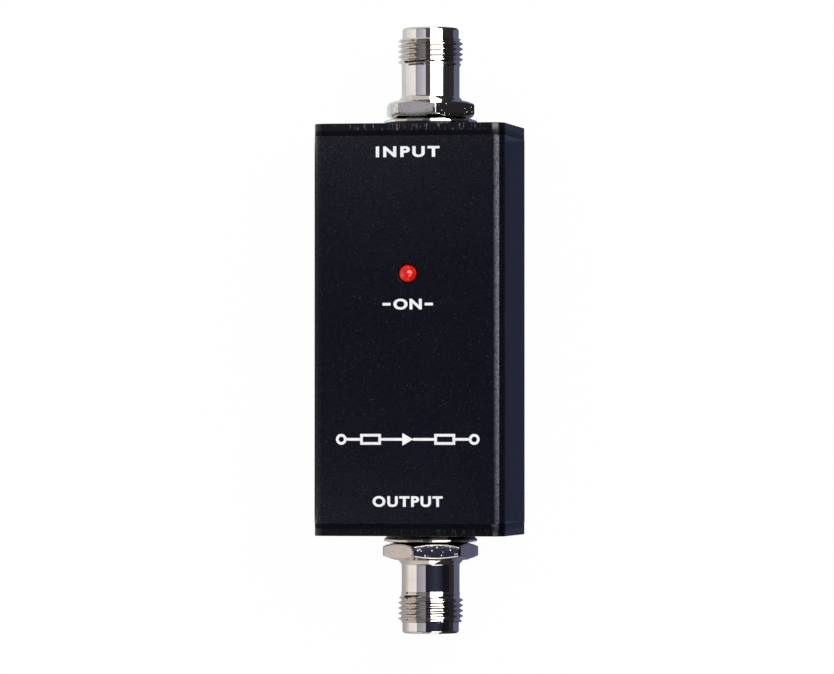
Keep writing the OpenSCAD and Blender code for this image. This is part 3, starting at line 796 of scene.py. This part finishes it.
def jack_steps(corner_turn, worn_turn):
    six = hexagon(corner_turn, worn_turn)
    return [(BARREL_R, CONE_HIGH), (CONE_R, HEX_HIGH), (HEX_FACE_R, HEX_HIGH),
            (six, lambda r: HEX_HIGH - drop(r)), (six, lambda r: HEX_LOW + drop(r)),
            (HEX_FACE_R, HEX_LOW), (shank, HEX_LOW), (shank, SHANK_LOW), (SEAT_R, SHANK_LOW),
            (SEAT_R, SOCKET_LOW), (SOCKET_R, SOCKET_LOW), (SOCKET_R, MOUTH_LOW), (MOUTH_R, MOUTH_LOW),
            (MOUTH_R, RIM), (NOSE_R - NOSE_CHAMFER, RIM), (NOSE_R, RIM - NOSE_CHAMFER),
            (NOSE_R, THREAD_HIGH)]

# %% [markdown]
# Machined edges show bright lines, because each has a hair of a bevel. So the hard edges outside are
# picked: those of the thread are left alone, and those of the hexagon get a bevel of their own, shaded
# softly. Spanners have rounded the corners of the antenna jack's hexagon too, while those of the
# receiver jack are still crisp.

# %% Edges of a jack
EDGE_BREAK, HEX_BREAK = 0.12 * MM, 0.13 * MM
HARD_EDGE = math.radians(40)
HEX_MARGIN, ALMOST, UPRIGHT = 0.1 * MM, 0.99, 0.01
MILLED = 1


def is_outer_edge(edge):
    in_thread = any(THREAD_LOW - HAIR < vert.co.z < THREAD_HIGH + HAIR for vert in edge.verts)
    above_shank = max(vert.co.z for vert in edge.verts) > HEX_LOW - HAIR
    out_of_bore = min(vert.co.xy.length for vert in edge.verts) > MOUTH_R * ALMOST
    return edge.calc_face_angle(0) > HARD_EDGE and out_of_bore and above_shank and not in_thread


def is_hexagon_edge(edge):
    return min(vert.co.xy.length for vert in edge.verts) > HEX_FACE_R + HEX_MARGIN


def is_arc(edge):
    return abs(edge.verts[0].co.z - edge.verts[1].co.z) < HEX_DROP


def is_hexagon_flat(face):
    middle = face.calc_center_median()
    upright = abs(face.normal.z) < UPRIGHT
    return upright and HEX_LOW < middle.z < HEX_HIGH and middle.xy.length > HEX_FLAT_R * ALMOST


def finish_edges(bm, corners_too):
    outside = [edge for edge in bm.edges if is_outer_edge(edge)]
    hexagon_edges = [edge for edge in outside if is_hexagon_edge(edge)]
    round_edges(bm, [edge for edge in outside if edge not in hexagon_edges], EDGE_BREAK, 2)
    hexagon_edges = [edge for edge in hexagon_edges if corners_too or is_arc(edge)]
    soft = {edge for face in round_edges(bm, hexagon_edges, HEX_BREAK, 4) for edge in face.edges}
    for face in bm.faces:
        if is_hexagon_flat(face):
            face.material_index = MILLED
    return soft

# %% [markdown]
# The two jacks also differ in how far their hexagons and threads are turned, and in how the
# threading tool ran out: on the receiver jack the barrel flares a little towards the thread. Bridging
# joins the ring to both ends of the thread, so each jack is one closed mesh.

# %% Jacks
TURNS_AND_RUN_OUT = {"antenna": (16, 225, 0), "receiver": (-12, 312, 0.4 * MM)}
FLARE = 0.25
SHARP = 12


def build_jack(corner_turn, worn_turn, thread_turn, run_out):
    bm = bmesh.new()
    thread_ends = cut_thread(bm, thread_turn)
    lower = [edge for edge in thread_ends if edge.verts[0].co.z < (THREAD_LOW + THREAD_HIGH) / 2]
    upper = [edge for edge in thread_ends if edge not in lower]
    start = bmesh.ops.create_circle(bm, segments=RING_STEPS, radius=BARREL_R, cap_ends=False,
                                    matrix=Matrix.Rotation(corner_turn, 4, "Z"))["verts"]
    set_ring(start, BARREL_R + FLARE * run_out, THREAD_LOW)
    ring = list({edge for vert in start for edge in vert.link_edges})
    first = ring
    flare_foot = [(BARREL_R, THREAD_LOW - run_out)] if run_out else []
    for radius, height in flare_foot + jack_steps(corner_turn, worn_turn):
        ring = grow_ring(bm, ring, radius, height)
    bmesh.ops.bridge_loops(bm, edges=lower + first)
    bmesh.ops.bridge_loops(bm, edges=upper + ring)
    bmesh.ops.recalc_face_normals(bm, faces=bm.faces)
    return bm


def place_jack(bm, side):
    stand = Matrix.Rotation(math.radians(-90 * side), 4, "X")
    bmesh.ops.transform(bm, verts=bm.verts,
                        matrix=Matrix.Translation((jack_x, side * plate_face_y, jack_z)) @ stand)


for end, side in ENDS:
    hex_turn, thread_turn, run_out = TURNS_AND_RUN_OUT[end]
    corner = side * math.radians(hex_turn - 90)
    worn = corner - SIXTH if end == "antenna" else None
    bm = build_jack(corner, worn, math.radians(thread_turn), run_out)
    soft = finish_edges(bm, end == "antenna")
    place_jack(bm, side)
    print("open edges:", sum(edge.is_boundary for edge in bm.edges))
    make_piece(bm, end + "_jack", [nickel, milled_nickel], end + "_jack_body", SHARP, soft)

# %% [markdown]
# A thin plated washer lies under each hexagon. It is one small section that is spun around the jack's
# axis. Its rim slopes in on both sides, so that it shows a dark and a bright line.

# %% Washers
WASHER_HOLE_R, WASHER_R, WASHER_T = 4.8 * MM, 8.006 * MM, 1.2 * MM
WASHER_SLOPE = 1.0 * MM
WASHER_RIM = {"antenna": (0.5 * MM, 0.85 * MM), "receiver": (0.68 * MM, 1.02 * MM)}
WASHER_BREAK = 0.04 * MM
WASHER_EDGE = math.radians(30)


def spin_section(points, steps, closed):
    bm = bmesh.new()
    line = [bm.verts.new((radius, 0, height)) for radius, height in points]
    ends = line[1:] + line[:1] if closed else line[1:]
    edges = [bm.edges.new(pair) for pair in zip(line, ends)]
    bmesh.ops.spin(bm, geom=line + edges, cent=(0, 0, 0), axis=(0, 0, 1), angle=2 * math.pi,
                   steps=steps, use_merge=True)
    bmesh.ops.remove_doubles(bm, verts=bm.verts, dist=0.1 * HAIR)
    bmesh.ops.recalc_face_normals(bm, faces=bm.faces)
    return bm


for end, side in ENDS:
    rim_low, rim_high = WASHER_RIM[end]
    section = [(WASHER_HOLE_R, 0), (WASHER_R - rim_low, 0), (WASHER_R, rim_low), (WASHER_R, rim_high),
               (WASHER_R - WASHER_SLOPE, WASHER_T), (WASHER_HOLE_R, WASHER_T)]
    bm = spin_section(section, RING_STEPS, closed=True)
    rim = [edge for edge in bm.edges if edge.calc_face_angle(0) > WASHER_EDGE]
    round_edges(bm, rim, WASHER_BREAK, 2)
    place_jack(bm, side)
    make_piece(bm, end + "_rim_washer", [washer_nickel], end + "_washer")

# %% [markdown]
# The lamp's lens is cast in red resin. The resin is coloured right through, so light that enters it
# comes out again nearby: subsurface scattering gives that depth, and a clear coat gives the wet
# highlight. The dome gathers light towards its far side, and that glow is painted: an orange tint in
# the colour that fades with the distance from one spot.

# %% Lens finish
LENS_R = 1.5 * MM
GLOW_X, GLOW_Y = -0.62 * LENS_R, LAMP_Y - 0.25 * LENS_R
GLOW_FADE = 0.45 * LENS_R, 0.1 * LENS_R
PAINTED_GLOW_COLOUR = (1.0, 0.075, 0.014)

lens_red = finish("lens_red", (0.72, 0.010, 0.006), (0.82, 0.014, 0.009), 1.5, (0.05, 0.08), 0.0005,
                  Subsurface_Weight=0.4, Subsurface_Radius=(1.0, 0.15, 0.05), Subsurface_Scale=0.6 * MM,
                  Specular_IOR_Level=0.2, Coat_Weight=0.6, Coat_Roughness=0.04)
tree = lens_red.node_tree
spot = object_spot(tree)
squares = [combine(tree, "POWER", distance_from(tree, spot[axis], middle), 2)
           for axis, middle in (("X", GLOW_X), ("Y", GLOW_Y))]
apart = combine(tree, "POWER", combine(tree, "ADD", *squares), 0.5)
# Painted light: an orange glow where the dome gathers light.
tint(lens_red, ramp(tree, apart, *GLOW_FADE), PAINTED_GLOW_COLOUR)
print("lens", round(2 * LENS_R / MM, 1), "mm wide")

# %% [markdown]
# The lens has a dome, a straight wall and a flange behind the front. It is spun from half of its
# section, which starts and ends on the axis, so the poles close when the doubles are merged.

# %% Lamp lens
FLANGE_R, FLANGE_T = 1.9 * MM, 1.0 * MM
DOME_STEPS, LENS_STEPS = 16, 64

lens_low, lens_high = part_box("lamp_lens")
dome_z = lens_high.z - LENS_R
flange_z = lens_low.z + FLANGE_T
quarter = [math.radians(90) * step / DOME_STEPS for step in range(DOME_STEPS + 1)]
section = [(LENS_R * math.sin(angle), dome_z + LENS_R * math.cos(angle)) for angle in quarter]
section += [(LENS_R, flange_z), (FLANGE_R, flange_z), (FLANGE_R, lens_low.z), (0, lens_low.z)]
bm = spin_section(section, LENS_STEPS, closed=False)
bmesh.ops.translate(bm, verts=bm.verts, vec=(0, LAMP_Y, 0))
make_piece(bm, "red_lens", [lens_red], "lamp_lens")

# %% [markdown]
# White marks are screen-printed on the front. They are a thin film of ink: each mark is drawn flat,
# and one extrusion gives all its faces the thickness of the film. Words start as text, which is made
# a mesh and then brought to its height and width.

# %% Ink
INK = 0.02 * MM
MARK_H = 1.85 * MM
STROKE = 0.46 * MM
BOLD, LETTER_MERGE = 0.04, 1e-5
ink_white = finish("ink_white", (0.80, 0.80, 0.83), (0.90, 0.90, 0.92), 6.0, (0.45, 0.6), 0.006)


def write_word(text, width, spacing):
    letters = bpy.data.curves.new(text, "FONT")
    letters.body = text
    letters.align_x, letters.align_y = "CENTER", "CENTER"
    letters.space_character = spacing
    letters.offset = BOLD
    holder = bpy.data.objects.new(text, letters)
    scene.collection.objects.link(holder)
    bpy.context.view_layer.update()
    seen = holder.evaluated_get(bpy.context.evaluated_depsgraph_get())
    drawn = bpy.data.meshes.new_from_object(seen)
    bpy.data.objects.remove(holder)
    bm = bmesh.new()
    bm.from_mesh(drawn)
    bmesh.ops.remove_doubles(bm, verts=bm.verts, dist=LETTER_MERGE)
    low = Vector([min(vert.co[i] for vert in bm.verts) for i in range(3)])
    high = Vector([max(vert.co[i] for vert in bm.verts) for i in range(3)])
    bmesh.ops.translate(bm, verts=bm.verts, vec=-(low + high) / 2)
    stretch = (width / (high - low).x, MARK_H / (high - low).y, 1)
    bmesh.ops.scale(bm, verts=bm.verts, vec=stretch)
    return bm


def print_film(bm, name, y):
    raised = bmesh.ops.extrude_face_region(bm, geom=bm.faces[:])["geom"]
    top = [item for item in raised if isinstance(item, bmesh.types.BMVert)]
    bmesh.ops.translate(bm, verts=top, vec=(0, 0, INK))
    bmesh.ops.translate(bm, verts=bm.verts, vec=(0, y, front_z))
    bmesh.ops.recalc_face_normals(bm, faces=bm.faces)
    make_piece(bm, name, [ink_white], None)

# %% [markdown]
# The signs are bars and discs. A disc with three corners is a triangle. Frames are outlines that get an
# inset and lose their middle.

# %% Helpers for signs
def add_bar(bm, low_x, high_x, half_h=STROKE / 2):
    verts = bmesh.ops.create_grid(bm, x_segments=1, y_segments=1, size=1)["verts"]
    bmesh.ops.scale(bm, verts=verts, vec=((high_x - low_x) / 2, half_h, 1))
    bmesh.ops.translate(bm, verts=verts, vec=((low_x + high_x) / 2, 0, 0))
    return list({face for vert in verts for face in vert.link_faces})


def add_disc(bm, x, radius, corners):
    verts = bmesh.ops.create_circle(bm, cap_ends=True, segments=corners, radius=radius)["verts"]
    quarter_turn = Matrix.Rotation(math.radians(-90), 3, "Z")
    bmesh.ops.rotate(bm, verts=verts, cent=(0, 0, 0), matrix=quarter_turn)
    bmesh.ops.translate(bm, verts=verts, vec=(x, 0, 0))
    return list({face for vert in verts for face in vert.link_faces})


def open_middle(bm, faces):
    bmesh.ops.inset_individual(bm, faces=faces, thickness=STROKE, use_even_offset=True)
    bmesh.ops.delete(bm, geom=faces, context="FACES")

# %% [markdown]
# A word stands at each jack. The word under the lamp has a short bar on both sides. Further down, a
# row of plain signs shows the signal's way: terminal, filter, amplifier, filter, terminal, joined by
# bars.

# %% Marks
INPUT_Y, ON_Y, PATH_Y, OUTPUT_Y = 30.2 * MM, 4.3 * MM, -18.65 * MM, -29.2 * MM
DASH_W, DASHES_X = 1.4 * MM, (-4.35 * MM, 2.95 * MM)
PATH_HALF, FILTER_X, FILTER_W = 12.4 * MM, 6.4 * MM, 3.6 * MM
ARROW_X, ARROW_R, ARROW_SIDE = -0.3 * MM, 1.25 * MM, 0.9 * MM
ROUND, TRIANGLE = 32, 3

print_film(write_word("INPUT", 11.0 * MM, 1.3), "mark_input", INPUT_Y)
print_film(write_word("OUTPUT", 12.1 * MM, 1.2), "mark_output", OUTPUT_Y)

bm = write_word("ON", 4.9 * MM, 1.15)
for low_x in DASHES_X:
    add_bar(bm, low_x, low_x + DASH_W)
print_film(bm, "mark_on", ON_Y)

bm = bmesh.new()
for side in (-1, 1):
    filter_low, filter_high = side * FILTER_X - FILTER_W / 2, side * FILTER_X + FILTER_W / 2
    open_middle(bm, add_disc(bm, side * (PATH_HALF - MARK_H / 2), MARK_H / 2, ROUND))
    open_middle(bm, add_bar(bm, filter_low, filter_high, MARK_H / 2))
    add_bar(bm, *sorted((side * (PATH_HALF - MARK_H), side * (FILTER_X + FILTER_W / 2))))
    add_bar(bm, *sorted((side * (FILTER_X - FILTER_W / 2), side * ARROW_SIDE)))
add_disc(bm, ARROW_X, ARROW_R, TRIANGLE)
print_film(bm, "mark_path", PATH_Y)

# %% [markdown]
# Pieces whose CAD shape is right keep it and only get a finish: screws, insulators, contacts and all
# that is inside the case. Each finish is named for what the piece is made of.

# %% Finishes for the CAD pieces
def dress(material, *nodes):
    for node in nodes:
        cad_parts[node].material_slots[0].material = material
    print(material.name, "on", len(nodes), "nodes")


def at_both_ends(piece):
    return [end + "_" + piece for end, side in ENDS]


dress(finish("screw_black", (0.012, 0.012, 0.014), (0.02, 0.02, 0.022), 5.0, (0.3, 0.45), 0.004),
      *at_both_ends("plate_screws"))
dress(finish("insulator_white", (0.80, 0.80, 0.77), (0.87, 0.87, 0.84), 1.5, (0.35, 0.5), 0.003,
             Subsurface_Weight=0.2, Subsurface_Scale=0.5 * MM), *at_both_ends("insulator"))
dress(finish("contact_gold", (0.86, 0.58, 0.24), (0.95, 0.68, 0.31), 4.0, (0.14, 0.24), 0.001, 1.0),
      *at_both_ends("contact"))
dress(finish("spring_steel", (0.40, 0.39, 0.37), (0.50, 0.49, 0.46), 4.0, (0.25, 0.4), 0.003, 1.0),
      *at_both_ends("lock_washer"))
dress(finish("nut_nickel", NICKEL_DARK, NICKEL_LIGHT, 3.0, (0.15, 0.3), 0.003, 1.0),
      *at_both_ends("nut"))

# %% [markdown]
# Nothing shows of the board in its closed case, but it is dressed as well, so that the model holds up
# when it is taken apart.

# %% Finishes for the board
dress(finish("board_green", (0.008, 0.065, 0.03), (0.014, 0.09, 0.042), 2.0, (0.25, 0.4), 0.004),
      "circuit_board")
dress(finish("track_copper", (0.62, 0.31, 0.2), (0.74, 0.4, 0.27), 3.0, (0.2, 0.4), 0.002, 1.0),
      "copper_tracks")
dress(finish("chip_black", (0.012, 0.012, 0.013), (0.022, 0.022, 0.023), 8.0, (0.4, 0.6), 0.006),
      "amplifier_chip", "voltage_regulator")
dress(finish("choke_brown", (0.13, 0.06, 0.03), (0.19, 0.09, 0.05), 4.0, (0.4, 0.6), 0.008),
      "bias_choke")
dress(finish("capacitor_yellow", (0.62, 0.4, 0.05), (0.72, 0.48, 0.08), 3.0, (0.3, 0.45), 0.004),
      "smoothing_capacitor")
dress(finish("capacitor_tan", (0.45, 0.31, 0.18), (0.53, 0.38, 0.23), 5.0, (0.35, 0.5), 0.004),
      "chip_capacitors")
dress(finish("resistor_dark", (0.02, 0.02, 0.024), (0.035, 0.035, 0.04), 5.0, (0.3, 0.45), 0.004),
      "chip_resistors")
dress(finish("leg_tin", (0.55, 0.54, 0.52), (0.64, 0.63, 0.61), 4.0, (0.2, 0.35), 0.002, 1.0),
      "lamp_legs")
dress(finish("spacer_nylon", (0.66, 0.65, 0.6), (0.75, 0.74, 0.69), 2.0, (0.4, 0.55), 0.004),
      "lamp_spacer")
